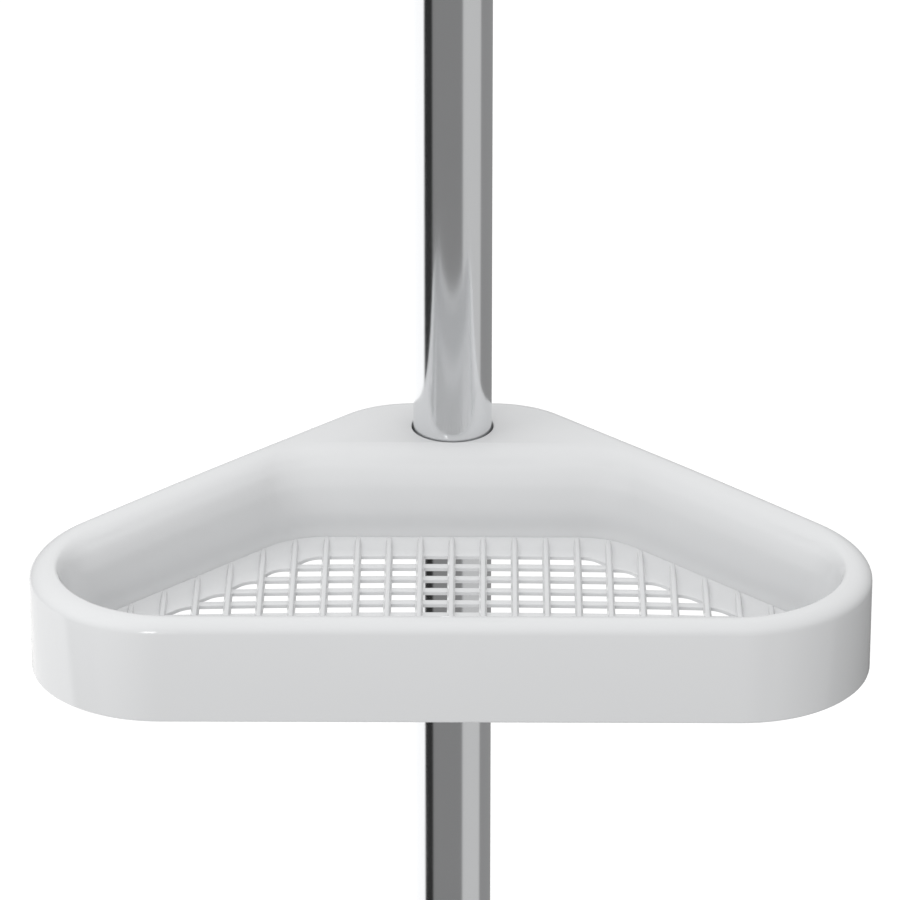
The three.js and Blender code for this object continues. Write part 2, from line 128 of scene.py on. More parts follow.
def math_node(tree, operation, first, second):
    """The result of a math operation on two sockets or numbers."""
    node = tree.nodes.new("ShaderNodeMath")
    node.operation = operation
    for socket, value in zip(node.inputs, (first, second)):
        if isinstance(value, (int, float)):
            socket.default_value = value
        else:
            tree.links.new(value, socket)
    return node.outputs[0]


def map_range(tree, value, from_min, from_max, to_min=0.0, to_max=1.0):
    """A socket's value eased from one range to another."""
    node = tree.nodes.new("ShaderNodeMapRange")
    node.interpolation_type = "SMOOTHSTEP"
    tree.links.new(value, node.inputs["Value"])
    for name, number in (("From Min", from_min), ("From Max", from_max),
                         ("To Min", to_min), ("To Max", to_max)):
        node.inputs[name].default_value = number
    return node.outputs["Result"]


def mix_colour(tree, factor, first, second):
    """A blend of two colours, each a socket or a constant."""
    node = tree.nodes.new("ShaderNodeMix")
    node.data_type = "RGBA"
    for name, value in (("Factor", factor), ("A", first), ("B", second)):
        socket = next(s for s in node.inputs if s.name == name and s.enabled)
        if isinstance(value, (tuple, float, int)):
            socket.default_value = value
        else:
            tree.links.new(value, socket)
    return next(s for s in node.outputs if s.enabled)


def noise(tree, scale, detail=2.0, stretch=(1, 1, 1)):
    """Noise in the object's own metres; scale counts features in a metre."""
    where = tree.nodes.new("ShaderNodeTexCoord")
    mapping = tree.nodes.new("ShaderNodeMapping")
    mapping.inputs["Scale"].default_value = stretch
    texture = tree.nodes.new("ShaderNodeTexNoise")
    texture.inputs["Scale"].default_value = scale
    texture.inputs["Detail"].default_value = detail
    tree.links.new(where.outputs["Object"], mapping.inputs["Vector"])
    tree.links.new(mapping.outputs["Vector"], texture.inputs["Vector"])
    return texture.outputs["Fac"]


def bump(tree, height, distance, strength, normal=None):
    """A bumped normal, laid over another one if it is given."""
    node = tree.nodes.new("ShaderNodeBump")
    node.inputs["Distance"].default_value = distance
    node.inputs["Strength"].default_value = strength
    tree.links.new(height, node.inputs["Height"])
    if normal is not None:
        tree.links.new(normal, node.inputs["Normal"])
    return node.outputs["Normal"]


def new_material(name):
    """A node material with its node tree and its main shader."""
    material = bpy.data.materials.new(name)
    material.use_nodes = True
    tree = material.node_tree
    shader = next(n for n in tree.nodes if n.type == "BSDF_PRINCIPLED")
    return material, tree, shader


# ---- Materials --------------------------------------------------------------------------------
def moulded_plastic(name, colour, roughness, peel, specular=0.5):
    """Injection-moulded plastic: faint orange peel, slow waviness and uneven gloss."""
    material, tree, shader = new_material(name)
    shader.inputs["Specular IOR Level"].default_value = specular
    cloud = noise(tree, 18, detail=3)
    fine = noise(tree, 420, detail=3)
    darker = tuple(c * 0.975 for c in colour) + (1,)
    tree.links.new(mix_colour(tree, cloud, darker, colour + (1,)), shader.inputs["Base Color"])
    rough = map_range(tree, cloud, 0.3, 0.7, roughness * 0.85, roughness * 1.15)
    speckle = map_range(tree, fine, 0.35, 0.65, -0.02, 0.02)
    tree.links.new(math_node(tree, "ADD", rough, speckle), shader.inputs["Roughness"])
    wavy = bump(tree, noise(tree, 45), 0.0004, 0.12)
    tree.links.new(bump(tree, fine, 0.00006, peel, wavy), shader.inputs["Normal"])
    return material


def chrome_plate(name):
    """Polished chromium plate: faint lengthwise polishing lines and a trace of bloom."""
    material, tree, shader = new_material(name)
    shader.inputs["Metallic"].default_value = 1.0
    lines = noise(tree, 1400, detail=2, stretch=(1, 1, 0.012))
    bloom = noise(tree, 26, detail=4)
    tone = mix_colour(tree, bloom, (0.79, 0.80, 0.81, 1), (0.82, 0.825, 0.835, 1))
    tree.links.new(tone, shader.inputs["Base Color"])
    rough = map_range(tree, bloom, 0.35, 0.75, 0.13, 0.16)
    tree.links.new(rough, shader.inputs["Roughness"])
    tree.links.new(bump(tree, lines, 0.00002, 0.05), shader.inputs["Normal"])
    return material


def drawn_steel(name):
    """Bright drawn wire or rod with fine lines round it."""
    material, tree, shader = new_material(name)
    shader.inputs["Metallic"].default_value = 1.0
    lines = noise(tree, 900, detail=3, stretch=(0.2, 0.2, 1))
    tone = mix_colour(tree, lines, (0.46, 0.47, 0.49, 1), (0.62, 0.63, 0.65, 1))
    tree.links.new(tone, shader.inputs["Base Color"])
    tree.links.new(map_range(tree, lines, 0.3, 0.7, 0.22, 0.36), shader.inputs["Roughness"])
    tree.links.new(bump(tree, lines, 0.00005, 0.2), shader.inputs["Normal"])
    return material


def soft_rubber(name):
    """Matt moulded rubber with a fine grain and paler rubbed patches."""
    material, tree, shader = new_material(name)
    grain = noise(tree, 1500, detail=4)
    rubbed = noise(tree, 60, detail=3)
    tone = mix_colour(tree, rubbed, (0.30, 0.31, 0.32, 1), (0.38, 0.39, 0.40, 1))
    tree.links.new(tone, shader.inputs["Base Color"])
    tree.links.new(map_range(tree, rubbed, 0.3, 0.7, 0.62, 0.8), shader.inputs["Roughness"])
    tree.links.new(bump(tree, grain, 0.0001, 0.35), shader.inputs["Normal"])
    return material


MATERIALS = {
    "tray_white": moulded_plastic("tray_white", (0.664, 0.670, 0.677), 0.11, 0.05),
    "white_gloss": moulded_plastic("white_gloss", (0.664, 0.670, 0.677), 0.16, 0.06),
    "white_matte": moulded_plastic("white_matte", (0.62, 0.63, 0.63), 0.5, 0.25, 0.4),
    "chrome": chrome_plate("chrome"),
    "spring_steel": drawn_steel("spring_steel"),
    "rubber": soft_rubber("rubber"),
}


# ---- Mesh helpers -----------------------------------------------------------------------------
def mesh_object(name, vertices, faces, height=0):
    """An object from vertices in millimetres, raised by a height."""
    mesh = bpy.data.meshes.new(name)
    mesh.from_pydata([(x * MM, y * MM, (z + height) * MM) for x, y, z in vertices], [], faces)
    mesh.validate()
    piece = bpy.data.objects.new(name, mesh)
    bpy.context.scene.collection.objects.link(piece)
    return piece


def apply_modifiers(piece):
    """Turns a piece's modifiers into mesh."""
    graph = bpy.context.evaluated_depsgraph_get()
    mesh = bpy.data.meshes.new_from_object(piece.evaluated_get(graph))
    old = piece.data
    piece.modifiers.clear()
    piece.data = mesh
    mesh.name = piece.name
    bpy.data.meshes.remove(old)


def cut_or_join(piece, other, operation):
    """UNION, DIFFERENCE or INTERSECT of a piece with another, which is used up."""
    modifier = piece.modifiers.new("boolean", "BOOLEAN")
    modifier.operation = operation
    modifier.solver = "MANIFOLD"
    modifier.object = other
    apply_modifiers(piece)
    mesh = other.data
    bpy.data.objects.remove(other)
    bpy.data.meshes.remove(mesh)


def rounded(profile, amount, steps=3):
    """A closed profile with rounded corners; a point beside each round keeps the long faces flat."""
    points = []
    for i, corner in enumerate(profile):
        here = Vector(corner)
        back = Vector(profile[i - 1]) - here
        ahead = Vector(profile[(i + 1) % len(profile)]) - here
        on_axis = corner[0] == 0
        if on_axis or math.pi - back.angle(ahead) < math.radians(25):
            points.append(corner)
            continue
        reach = min(amount, 0.3 * back.length, 0.3 * ahead.length)
        enter = here + back.normalized() * reach
        leave = here + ahead.normalized() * reach
        if back.length > 8 * reach:
            points.append(tuple(here + back.normalized() * 3 * reach))
        for step in range(steps + 1):
            t = step / steps
            points.append(tuple(enter * (1 - t) ** 2 + here * 2 * t * (1 - t) + leave * t * t))
        if ahead.length > 8 * reach:
            points.append(tuple(here + ahead.normalized() * 3 * reach))
    return points


def smooth(piece, angle=35):
    """Smooth shading, with sharp edges above an angle in degrees."""
    mesh = piece.data
    mesh.shade_smooth()
    mesh.set_sharp_from_angle(angle=math.radians(angle))


def finish_piece(piece, body, slot, *nodes):
    """Gives a piece its material, its body and the CAD nodes that it stands for."""
    piece.data.materials.clear()
    piece.data.materials.append(MATERIALS[slot])
    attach(piece, body)
    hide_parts(*nodes)


def arc(centre_x, centre_y, radius, start, stop, steps):
    """Points on an arc, angles in degrees."""
    points = []
    for i in range(steps + 1):
        angle = math.radians(start + (stop - start) * i / steps)
        points.append((centre_x + radius * math.cos(angle), centre_y + radius * math.sin(angle)))
    return points


def turned(name, profile, segments=96, start=0.0, stop=360.0, radius_at=None):
    """A turned piece from a closed [radius, z] profile; part-turns are capped."""
    full = stop - start >= 360
    columns = segments if full else segments + 1
    vertices = []
    for i in range(columns):
        angle = math.radians(start + (stop - start) * i / segments)
        for radius, z in profile:
            r = radius_at(radius, z, angle) if radius_at else radius
            vertices.append((r * math.cos(angle), r * math.sin(angle), z))
    count = len(profile)
    faces = []
    for i in range(segments):
        j = (i + 1) % columns
        for k in range(count):
            m = (k + 1) % count
            faces.append((i * count + k, j * count + k, j * count + m, i * count + m))
    if not full:
        faces.append(tuple(range(count)))
        faces.append(tuple(reversed(range(segments * count, (segments + 1) * count))))
    piece = mesh_object(name, vertices, faces)
    shape = bmesh.new()
    shape.from_mesh(piece.data)
    bmesh.ops.remove_doubles(shape, verts=shape.verts, dist=1e-7)
    bmesh.ops.dissolve_degenerate(shape, edges=shape.edges, dist=1e-8)
    bmesh.ops.recalc_face_normals(shape, faces=shape.faces)
    shape.to_mesh(piece.data)
    shape.free()
    return piece


def block(name, low, high):
    """A closed block between two corners."""
    (x0, y0, z0), (x1, y1, z1) = low, high
    vertices = [(x, y, z) for z in (z0, z1) for x, y in ((x0, y0), (x1, y0), (x1, y1), (x0, y1))]
    faces = [(3, 2, 1, 0), (4, 5, 6, 7)] + [(i, (i + 1) % 4, (i + 1) % 4 + 4, i + 4) for i in range(4)]
    return mesh_object(name, vertices, faces)


# ---- Tray outline -----------------------------------------------------------------------------
CORNER_STEPS = 36
SHOULDER_STEPS = 12
SIDE_POINTS = 16


def outline(ring):
    """A rounded right-angled triangle from above, anticlockwise."""
    front, side, back, front_radius, back_radius, _ = ring
    root = math.sqrt(2)
    corner_x = side - root * front_radius + front - front_radius
    shoulder_x = side - root * back_radius - back + back_radius
    corner = arc(corner_x, front_radius - front, front_radius, -90, 45, CORNER_STEPS)
    shoulder = arc(shoulder_x, back - back_radius, back_radius, 45, 90, SHOULDER_STEPS)
    start, stop = Vector(corner[-1]), Vector(shoulder[0])
    straight = [tuple(start.lerp(stop, (i + 1) / (SIDE_POINTS + 1))) for i in range(SIDE_POINTS)]
    right = corner + straight + shoulder
    left = [(-x, y) for x, y in reversed(right)]
    return right + left


def outer_ring(inset, z):
    """The tray's outer outline moved in by a distance all round."""
    return (TRAY_FRONT - inset, SIDE_LINE - math.sqrt(2) * inset, TRAY_BACK - inset,
            FRONT_RADIUS - inset, BACK_RADIUS - inset, z)


def basin_ring(front_inset, side_inset, corner_inset, back, back_radius, z):
    """An outline of the basin: insets at the front, the sides and the corners, and a back line."""
    return (TRAY_FRONT - front_inset, SIDE_LINE - math.sqrt(2) * side_inset, back,
            FRONT_RADIUS - corner_inset, back_radius, z)


def smoothstep(value, low, high):
    """0 below the low end, 1 above the high end, and a smooth rise between them."""
    t = min(max((value - low) / (high - low), 0), 1)
    return t * t * (3 - 2 * t)


def rim_drop(y, z):
    """The rim eases down towards the front, and the floor stays level."""
    height = min(max(1 - z / FLOOR_TOP, 0), 1)
    return RIM_DROP * smoothstep(-y, 20, 130) * height


def loft(name, rings):
    """A ring-shaped skin through closed outlines, the last joined back to the first."""
    loops = [[(x, y, ring[-1] - rim_drop(y, ring[-1])) for x, y in outline(ring)] for ring in rings]
    count = len(loops[0])
    faces = []
    for i in range(len(loops)):
        n = (i + 1) % len(loops)
        for j in range(count):
            k = (j + 1) % count
            faces.append((i * count + j, i * count + k, n * count + k, n * count + j))
    return mesh_object(name, [point for loop in loops for point in loop], faces)


def through(keys, steps):
    """A smooth run of rings through key rings (Catmull-Rom), without the last key."""
    first = tuple(2 * a - b for a, b in zip(keys[0], keys[1]))
    last = tuple(2 * a - b for a, b in zip(keys[-1], keys[-2]))
    padded = [first, *keys, last]
    rings = []
    for i in range(1, len(padded) - 2):
        for step in range(steps):
            t = step / steps
            rings.append(tuple(
                0.5 * (2 * b + (c - a) * t + (2 * a - 5 * b + 4 * c - d) * t * t
                       + (3 * b - a - 3 * c + d) * t ** 3)
                for a, b, c, d in zip(*padded[i - 1:i + 3])
            ))
    return rings


# ---- Tray -------------------------------------------------------------------------------------
POCKET_FRONT = 11               # insets of the floor's pocket from the tray's outline
POCKET_SIDE = 20.5
POCKET_CORNER = 15.75
POCKET_BACK = -33
POCKET_BACK_RADIUS = 25
POCKET_BOTTOM = FLOOR_BOTTOM - GAP
LEDGE_THICKNESS = 1.5
HUB_HOLE = 13
HOLE_ROUND = 0.4
HUB_RADIUS = 19.5
HUB_SHOULDER = 3                # how far the hub narrows where it meets the deck
HUB_BOTTOM = -32
WEB = 2                         # thickness of the three webs under the deck
WEDGE_TOP = -5
WEDGE_TOP_RADIUS = 14.2
WEDGE_BOTTOM_RADIUS = 15.8
WEDGE_FLANGE = 2.4
WEDGE_FLANGE_RADIUS = 18
WEDGE_SPLIT = 2.7               # degrees from the middle of the slot to each half
EDGE_ROUND = 0.8
END_SHARE = 0.61                # of the rim's inset taken off the corner radius; 1 keeps it even


def pocket_ring(inward, z):
    """The outline of the drain floor's pocket, moved in by a distance all round."""
    return basin_ring(POCKET_FRONT + inward, POCKET_SIDE + inward, POCKET_CORNER + inward,
                      POCKET_BACK - inward, POCKET_BACK_RADIUS - inward, z)


def rim_ring(inset, z):
    """An outline of the rim: its inset grows at the two rounded ends."""
    front, side, back, _, back_radius, _ = outer_ring(inset, z)
    return (front, side, back, FRONT_RADIUS - END_SHARE * inset, back_radius, z)


def rim_rings():
    """Skirt's rounded foot, its outer face and the outer half of the rolled rim, broad at the ends."""
    foot = [outer_ring(EDGE_ROUND - EDGE_ROUND * math.sin(a), EDGE_ROUND * (1 - math.cos(a)) - TRAY_DEPTH)
            for a in (math.radians(d) for d in (0, 30, 60, 90))]
    rim = [rim_ring(RIM_RADIUS * (1 - math.cos(a)), RIM_RADIUS * (math.sin(a) - 1))
           for a in (math.radians(9 * i) for i in range(11))]
    return foot + [outer_ring(0, -RIM_RADIUS - 3)] + rim


def basin_rings():
    """From the deck's edge and the rim's inner round down the basin wall to the floor."""
    keys = [
        basin_ring(4.8, 4.8, 3, DECK_FRONT, 15, 0),
        basin_ring(6.4, 7.5, 6.2, -16.5, 16.5, -0.32),
        basin_ring(7.8, 10, 9.2, -19.8, 18, -1.23),
        basin_ring(8.7, 12.2, 11.6, -22.5, 19, -2.59),
        basin_ring(9, 14, 13.4, -24.8, 20, -RIM_RADIUS),
        basin_ring(9.1, 15.9, 15, -27.3, 21.3, -7),
        basin_ring(9.2, 17.3, 15.9, -29.1, 22.5, -10),
        basin_ring(9.6, 19, 16.2, -31.5, 24, -16),
        basin_ring(10, 19.7, 15.8, -32.2, 24.6, -21),
        pocket_ring(0, FLOOR_TOP),
    ]
    return through(keys, 4)


def underside_rings():
    """Pocket and ledge for the drain floor, the hidden side of the basin, and the skirt's inside."""
    ledge_bottom = POCKET_BOTTOM - LEDGE_THICKNESS
    return [
        pocket_ring(0, FLOOR_TOP),
        pocket_ring(0, POCKET_BOTTOM),
        pocket_ring(3, POCKET_BOTTOM),
        pocket_ring(3, ledge_bottom),
        basin_ring(7.8, 17.6, 13, -30.6, 24, ledge_bottom),
        *through([
            basin_ring(7.6, 17.2, 13.1, -30, 23.6, -22),
            basin_ring(7.4, 16.6, 13.5, -29.2, 23, -18),
            basin_ring(6.9, 15, 13.6, -27.2, 21, -11),
            basin_ring(6.6, 12, 11.6, -23.6, 19.4, -6.8),
            basin_ring(6, 8.6, 8.6, -18.6, 17.4, -4.2),
            basin_ring(5.4, 5.4, 5.4, -14, 16, -DECK_THICKNESS),
        ], 3),
        basin_ring(5.4, 5.4, 5.4, -14, 16, -DECK_THICKNESS),
        outer_ring(3.4, -DECK_THICKNESS),
        outer_ring(2.7, -3.8),
        outer_ring(WALL, -5),
        outer_ring(WALL, 0.6 - TRAY_DEPTH),
        outer_ring(WALL - 0.5, -TRAY_DEPTH),
    ]


def hub_socket():
    """The hole for the pole, with a small round at the deck, and the cone that grips the wedge."""
    top = WEDGE_TOP + GAP
    lip = [(HUB_HOLE + HOLE_ROUND * (1 - math.cos(a)), HOLE_ROUND * (math.sin(a) - 1))
           for a in (math.radians(22.5 * i) for i in range(5))]
    return turned("socket", [
        (0, -TRAY_DEPTH - 1),
        (WEDGE_BOTTOM_RADIUS + GAP, -TRAY_DEPTH - 1),
        (WEDGE_BOTTOM_RADIUS + GAP, HUB_BOTTOM),
        (WEDGE_TOP_RADIUS + GAP, top),
        (HUB_HOLE, top),
        *lip,
        (HUB_HOLE + HOLE_ROUND, 1),
        (0, 1),
    ])


def make_tray():
    """One tray with its hub, webs and socket, at z = 0."""
    tray = loft("tray", rim_rings() + [rim_ring(RIM_RADIUS + 0.3, 0)] + basin_rings() + underside_rings())
    boss = turned("boss", [
        (0, HUB_BOTTOM),
        (HUB_RADIUS - 1, HUB_BOTTOM),
        (HUB_RADIUS, -DECK_THICKNESS - 1),
        (HUB_RADIUS - HUB_SHOULDER, -DECK_THICKNESS / 2),
        (0, -DECK_THICKNESS / 2),
    ])
    cut_or_join(tray, boss, "UNION")
    start = HUB_RADIUS - HUB_SHOULDER
    top = -DECK_THICKNESS / 2
    half = WEB / 2
    webs = [
        ((start, -half, HUB_BOTTOM + 2), (SIDE_LINE - WALL / 2, half, top)),
        ((WALL / 2 - SIDE_LINE, -half, HUB_BOTTOM + 2), (-start, half, top)),
        ((-half, -25, -24), (half, -start, -10)),
    ]
    for low, high in webs:
        cut_or_join(tray, block("web", low, high), "UNION")
    cut_or_join(tray, hub_socket(), "DIFFERENCE")
    smooth(tray)
    return tray


# ---- Drain floor ------------------------------------------------------------------------------
FLOOR_BORDER = 11
RIB_PITCH = 9.87
RIB_WIDTH = 2.5
RIB_TOP_WIDTH = 1.5
RIB_RISE = 1.2
RIB_ROUND = 0.45
BAR_PITCH = 8.6
BAR_WIDTH = 2.9
BAR_BOW = 0.0003                # bars bend forward by this much times x squared
BAR_EDGE = 0.35                 # rounding of the bars and of the openings' ends
BAR_TOP = FLOOR_TOP - RIB_RISE
END_ROUND = 3                   # rounding of an opening's back corners
LEAST_OPENING = 1.8             # a narrower one past a rib is left solid
SINK = 0.1                      # how far the floor's edge is let into the basin wall


def solid_loft(name, loops):
    """A solid through stacked closed loops of [x, y, z] points, capped at both ends."""
    count = len(loops[0])
    last = (len(loops) - 1) * count
    faces = [tuple(reversed(range(count))), tuple(range(last, last + count))]
    for i in range(len(loops) - 1):
        for j in range(count):
            k = (j + 1) % count
            faces.append((i * count + j, i * count + k, (i + 1) * count + k, (i + 1) * count + j))
    return mesh_object(name, [point for loop in loops for point in loop], faces)


def pocket_loop(inward, z):
    """The pocket's outline as a level loop of points."""
    return [(x, y, z) for x, y in outline(pocket_ring(inward, z))]


def dished_plate():
    """The floor's plate: level in the middle, rising in a soft fillet to the basin wall."""
    fillet = [
        (-SINK, FLOOR_BOTTOM),
        (-SINK, FLOOR_TOP - 0.05),
        (0.6, FLOOR_TOP - 0.35),
        (1.6, FLOOR_TOP - 0.68),
        (3.2, FLOOR_TOP - 0.98),
        (5.5, BAR_TOP - 0.02),
        (7, BAR_TOP),
    ]
    return solid_loft("drain_floor", [pocket_loop(inward, z) for inward, z in fillet])


def open_half_width(y):
    """Half the width of the open part of the floor on a line across it."""
    points = outline(pocket_ring(GAP + FLOOR_BORDER, 0))
    right = [(px, py) for px, py in points if px >= 0]
    for (x0, y0), (x1, y1) in zip(right, right[1:]):
        if y0 <= y < y1:
            return x0 + (x1 - x0) * (y - y0) / (y1 - y0)
    return right[-1][0]


def edge_on_bow(y):
    """Where a bowed line that crosses the centre at y meets the edge of the open part."""
    x = open_half_width(y)
    for _ in range(4):
        x = open_half_width(y - BAR_BOW * x * x)
    return x


def opening_loop(row, grow, z):
    """One row of openings before the ribs cross it: bowed, with slanted ends rounded at the back."""
    far = POCKET_BACK - GAP - FLOOR_BORDER - row * BAR_PITCH
    near = far - BAR_PITCH + BAR_WIDTH
    tip, shoulder = edge_on_bow(near), edge_on_bow(far)
    rib = RIB_PITCH * round(tip / RIB_PITCH)
    if rib < tip < rib + RIB_WIDTH / 2 + LEAST_OPENING:
        tip = rib
    corner = Vector((shoulder, far))
    down = (Vector((tip, near)) - corner).normalized() * END_ROUND
    inward = Vector((-END_ROUND, 0))
    turn = [corner + down * (1 - t) ** 2 + inward * t * t for t in (i / 6 for i in range(7))]
    run = shoulder - END_ROUND
    back = [Vector((run * (1 - i / 10), far)) for i in range(1, 10)]
    front = [Vector((tip * i / 10, near)) for i in range(11)]
    half = front[1:] + turn + back
    loop = [*half, Vector((0, far)), *[Vector((-p.x, p.y)) for p in reversed(half)], Vector((0, near))]
    middle = (far + near) / 2
    bowed = []
    for point in loop:
        x, y = point
        if abs(x) > run:
            x += math.copysign(grow, x)
        y += math.copysign(grow, y - middle)
        bowed.append((x, y - BAR_BOW * x * x, z))
    return bowed


def opening_row(row):
    """The cutter for one row of openings, flared to round the bars' upper edges."""
    levels = [(0, FLOOR_BOTTOM - 1), (0, BAR_TOP - BAR_EDGE)]
    for degrees in (30, 60, 90):
        a = math.radians(degrees)
        levels.append((BAR_EDGE * (1 - math.cos(a)), BAR_TOP - BAR_EDGE * (1 - math.sin(a))))
    levels.append((BAR_EDGE, 0))
    return solid_loft("opening", [opening_loop(row, grow, z) for grow, z in levels])


def rib_bars():
    """Front-to-back ribs with a drafted, rounded section, trimmed to the floor's outline."""
    foot = RIB_WIDTH / 2
    crown = arc(RIB_TOP_WIDTH / 2 - RIB_ROUND, FLOOR_TOP - RIB_ROUND, RIB_ROUND, 0, 90, 4)
    section = [(-foot, FLOOR_BOTTOM + 0.05), (foot, FLOOR_BOTTOM + 0.05), (foot, BAR_TOP - 0.2), *crown]
    section += [(-x, z) for x, z in reversed([(foot, BAR_TOP - 0.2), *crown])]
    columns = int(TRAY_HALF_WIDTH / RIB_PITCH)
    ribs = None
    for column in range(-columns, columns + 1):
        middle = column * RIB_PITCH
        loops = [[(middle + x, y, z) for x, z in section] for y in (0, -TRAY_FRONT)]
        rib = solid_loft("rib", loops)
        if ribs:
            cut_or_join(ribs, rib, "UNION")
        else:
            ribs = rib
    trim = solid_loft("trim", [pocket_loop(-SINK, z) for z in (FLOOR_BOTTOM - 1, 0)])
    cut_or_join(ribs, trim, "INTERSECT")
    return ribs


def make_drain_floor():
    """One drain floor: plate, rows of openings and ribs, at z = 0."""
    floor = dished_plate()
    open_back = POCKET_BACK - GAP - FLOOR_BORDER
    open_front = GAP + FLOOR_BORDER + POCKET_FRONT - TRAY_FRONT
    for row in range(int((open_back - open_front) / BAR_PITCH)):
        cut_or_join(floor, opening_row(row), "DIFFERENCE")
    cut_or_join(floor, rib_bars(), "UNION")
    smooth(floor)
    return floor


# ---- Shelves ----------------------------------------------------------------------------------
def copy_at(mesh, name, height):
    """A copy of a mesh made at z = 0, raised to its height in the frame."""
    copied = mesh.copy()
    copied.name = name
    copied.transform(Matrix.Translation((0, 0, height * MM)))
    piece = bpy.data.objects.new(name, copied)
    bpy.context.scene.collection.objects.link(piece)
    return piece


def make_wedge(start):
    """One half of a split wedge, on the side that starts at an angle, at z = 0."""
    flange_top = HUB_BOTTOM - GAP
    flange_bottom = flange_top - WEDGE_FLANGE
    half = turned("wedge", rounded([
        (TUBE_RADIUS + GAP, flange_bottom),
        (WEDGE_FLANGE_RADIUS, flange_bottom),
        (WEDGE_FLANGE_RADIUS, flange_top),
        (WEDGE_BOTTOM_RADIUS, flange_top),
        (WEDGE_TOP_RADIUS, WEDGE_TOP),
        (TUBE_RADIUS + GAP, WEDGE_TOP),
    ], 0.3), 64, start + WEDGE_SPLIT, start + 180 - WEDGE_SPLIT)
    smooth(half)
    return half


def make_shelves():
    """The three trays, each with its drain floor on the shelf and its wedge halves on the clamp."""
    shapes = {
        "tray": (make_tray(), "shelf", "tray_white"),
        "drain_floor": (make_drain_floor(), "shelf", "tray_white"),
        "wedge_right": (make_wedge(-90), "clamp", "white_matte"),
        "wedge_left": (make_wedge(90), "clamp", "white_matte"),
    }
    for level, height in DECK_HEIGHTS.items():
        for name, (shape, body, slot) in shapes.items():
            node = f"{level}_{name}"
            finish_piece(copy_at(shape.data, f"{node}_shell", height), f"{level}_{body}", slot, node)
    for shape, _, _ in shapes.values():
        bpy.data.objects.remove(shape)


# ---- Pole pieces ------------------------------------------------------------------------------
OUTER_WALL = 0.8
INNER_WALL = 1.0
NUT_FLUTES = 20
FLUTE_DEPTH = 0.9
NUT_CAP = 12                    # height of the plain cap above the flutes
NUT_ROUND = 5
NUT_BORE = 15.8
NUT_THROAT = 11.4
SCREW_HOLE = 1.9                # the foot's hole for the screw, and the recess for its head
SCREW_RECESS = 4.3
FOOT_SEAT = 3.4
FOOT_COLLAR = 3
PAD_THICKNESS = 5
PAD_RECESS = 24.3               # radius of the foot's seat in a pad
PLUNGER_STEM = 7
STEM_SOCKET = PLUNGER_STEM + GAP


def make_tube(node, body, wall):
    """A tube with its ends lightly rounded."""
    radius, bottom, top = turned_size(node)
    bore = radius - wall
    profile = [(bore, bottom), (radius, bottom), (radius, top), (bore, top)]
    piece = turned(f"{node}_smooth", rounded(profile, 0.3), 160)
    smooth(piece)
    finish_piece(piece, body, "chrome", node)


def make_lock_nut():
    """The twist-lock nut, fluted for the hand, with a round cap."""
    radius, bottom, top = turned_size("lock_nut")
    shoulder = top - NUT_CAP

    def fluted(r, z, angle):
        if r < radius - FLUTE_DEPTH or not bottom + 3 < z < shoulder + 0.1:
            return r
        groove = max(0.0, math.cos(NUT_FLUTES * angle)) ** 2
        return r - FLUTE_DEPTH * groove

    collet_top = extent("lock_collet")[1].z
    flank = [(radius, bottom + 4 + (shoulder - bottom - 4) * i / 8) for i in range(9)]
    cap = arc(radius - NUT_ROUND, top - NUT_ROUND, NUT_ROUND, 0, 90, 6)
    piece = turned("lock_nut_fluted", rounded([
        (NUT_BORE, bottom),
        (radius - 1, bottom),
        (radius, bottom + 1.2),
        *flank,
        (radius, shoulder + 2),
        *cap,
        (NUT_THROAT, top),
        (NUT_THROAT, collet_top + GAP),
        (NUT_THROAT + 2.6, collet_top + GAP),
        (NUT_BORE, collet_top - 9.7),
    ], 0.3), 240, radius_at=fluted)
    smooth(piece, 40)
    finish_piece(piece, "lock_nut", "white_gloss", "lock_nut")


def bell(neck, rim, low, high, steps=14):
    """The flared flank of a foot: points from the wide rim to the narrow neck."""
    points = []
    for i in range(steps + 1):
        t = i / steps
        flare = (1 - t) ** 2.6
        points.append((neck + (rim - neck) * flare, low + (high - low) * t))
    return points


def make_floor_foot():
    """The bell-shaped foot round the tube's lower end."""
    radius, bottom, top = turned_size("floor_foot")
    socket = TUBE_RADIUS + GAP
    seat = TUBE_BOTTOM - GAP
    neck = socket + FOOT_COLLAR
    piece = turned("floor_foot_bell", rounded([
        (SCREW_RECESS, bottom),
        (radius, bottom),
        (radius, bottom + 3),
        *bell(neck, radius - 1.2, bottom + 4, top - 3),
        (neck, top - 1),
        (socket + 2.2, top),
        (socket, top),
        (socket, seat),
        (SCREW_HOLE, seat),
        (SCREW_HOLE, seat - FOOT_SEAT),
        (SCREW_RECESS, seat - FOOT_SEAT),
    ], 0.4))
    smooth(piece, 40)
    finish_piece(piece, "pole", "white_gloss", "floor_foot")


def pad_profile(radius, foot_radius, thickness, lip):
    """A rubber pad lying face down: ribbed face, rounded edge, and a lip round the foot."""
    grooves = []
    for i in range(3):
        inner = 8 + 5 * i
        grooves += [(inner, 0), (inner + 0.4, 0.8), (inner + 1.2, 0.8), (inner + 1.6, 0)]
    edge = arc(radius - 1.5, 1.5, 1.5, -90, 0, 5)
    return [(0, 0), *grooves, *edge, (radius, thickness + lip), (foot_radius, thickness + lip),
            (foot_radius, thickness), (0, thickness)]


def make_pad(node, body, face_z, up):
    """A rubber pad with its ribbed face at a height, and its body above or below that face."""
    radius, bottom, top = turned_size(node)
    profile = pad_profile(radius, PAD_RECESS, PAD_THICKNESS, top - bottom - PAD_THICKNESS)
    placed = [(r, face_z + up * z) for r, z in profile]
    piece = turned(f"{node}_ribbed", rounded(placed, 0.3))
    smooth(piece, 40)
    finish_piece(piece, body, "rubber", node)


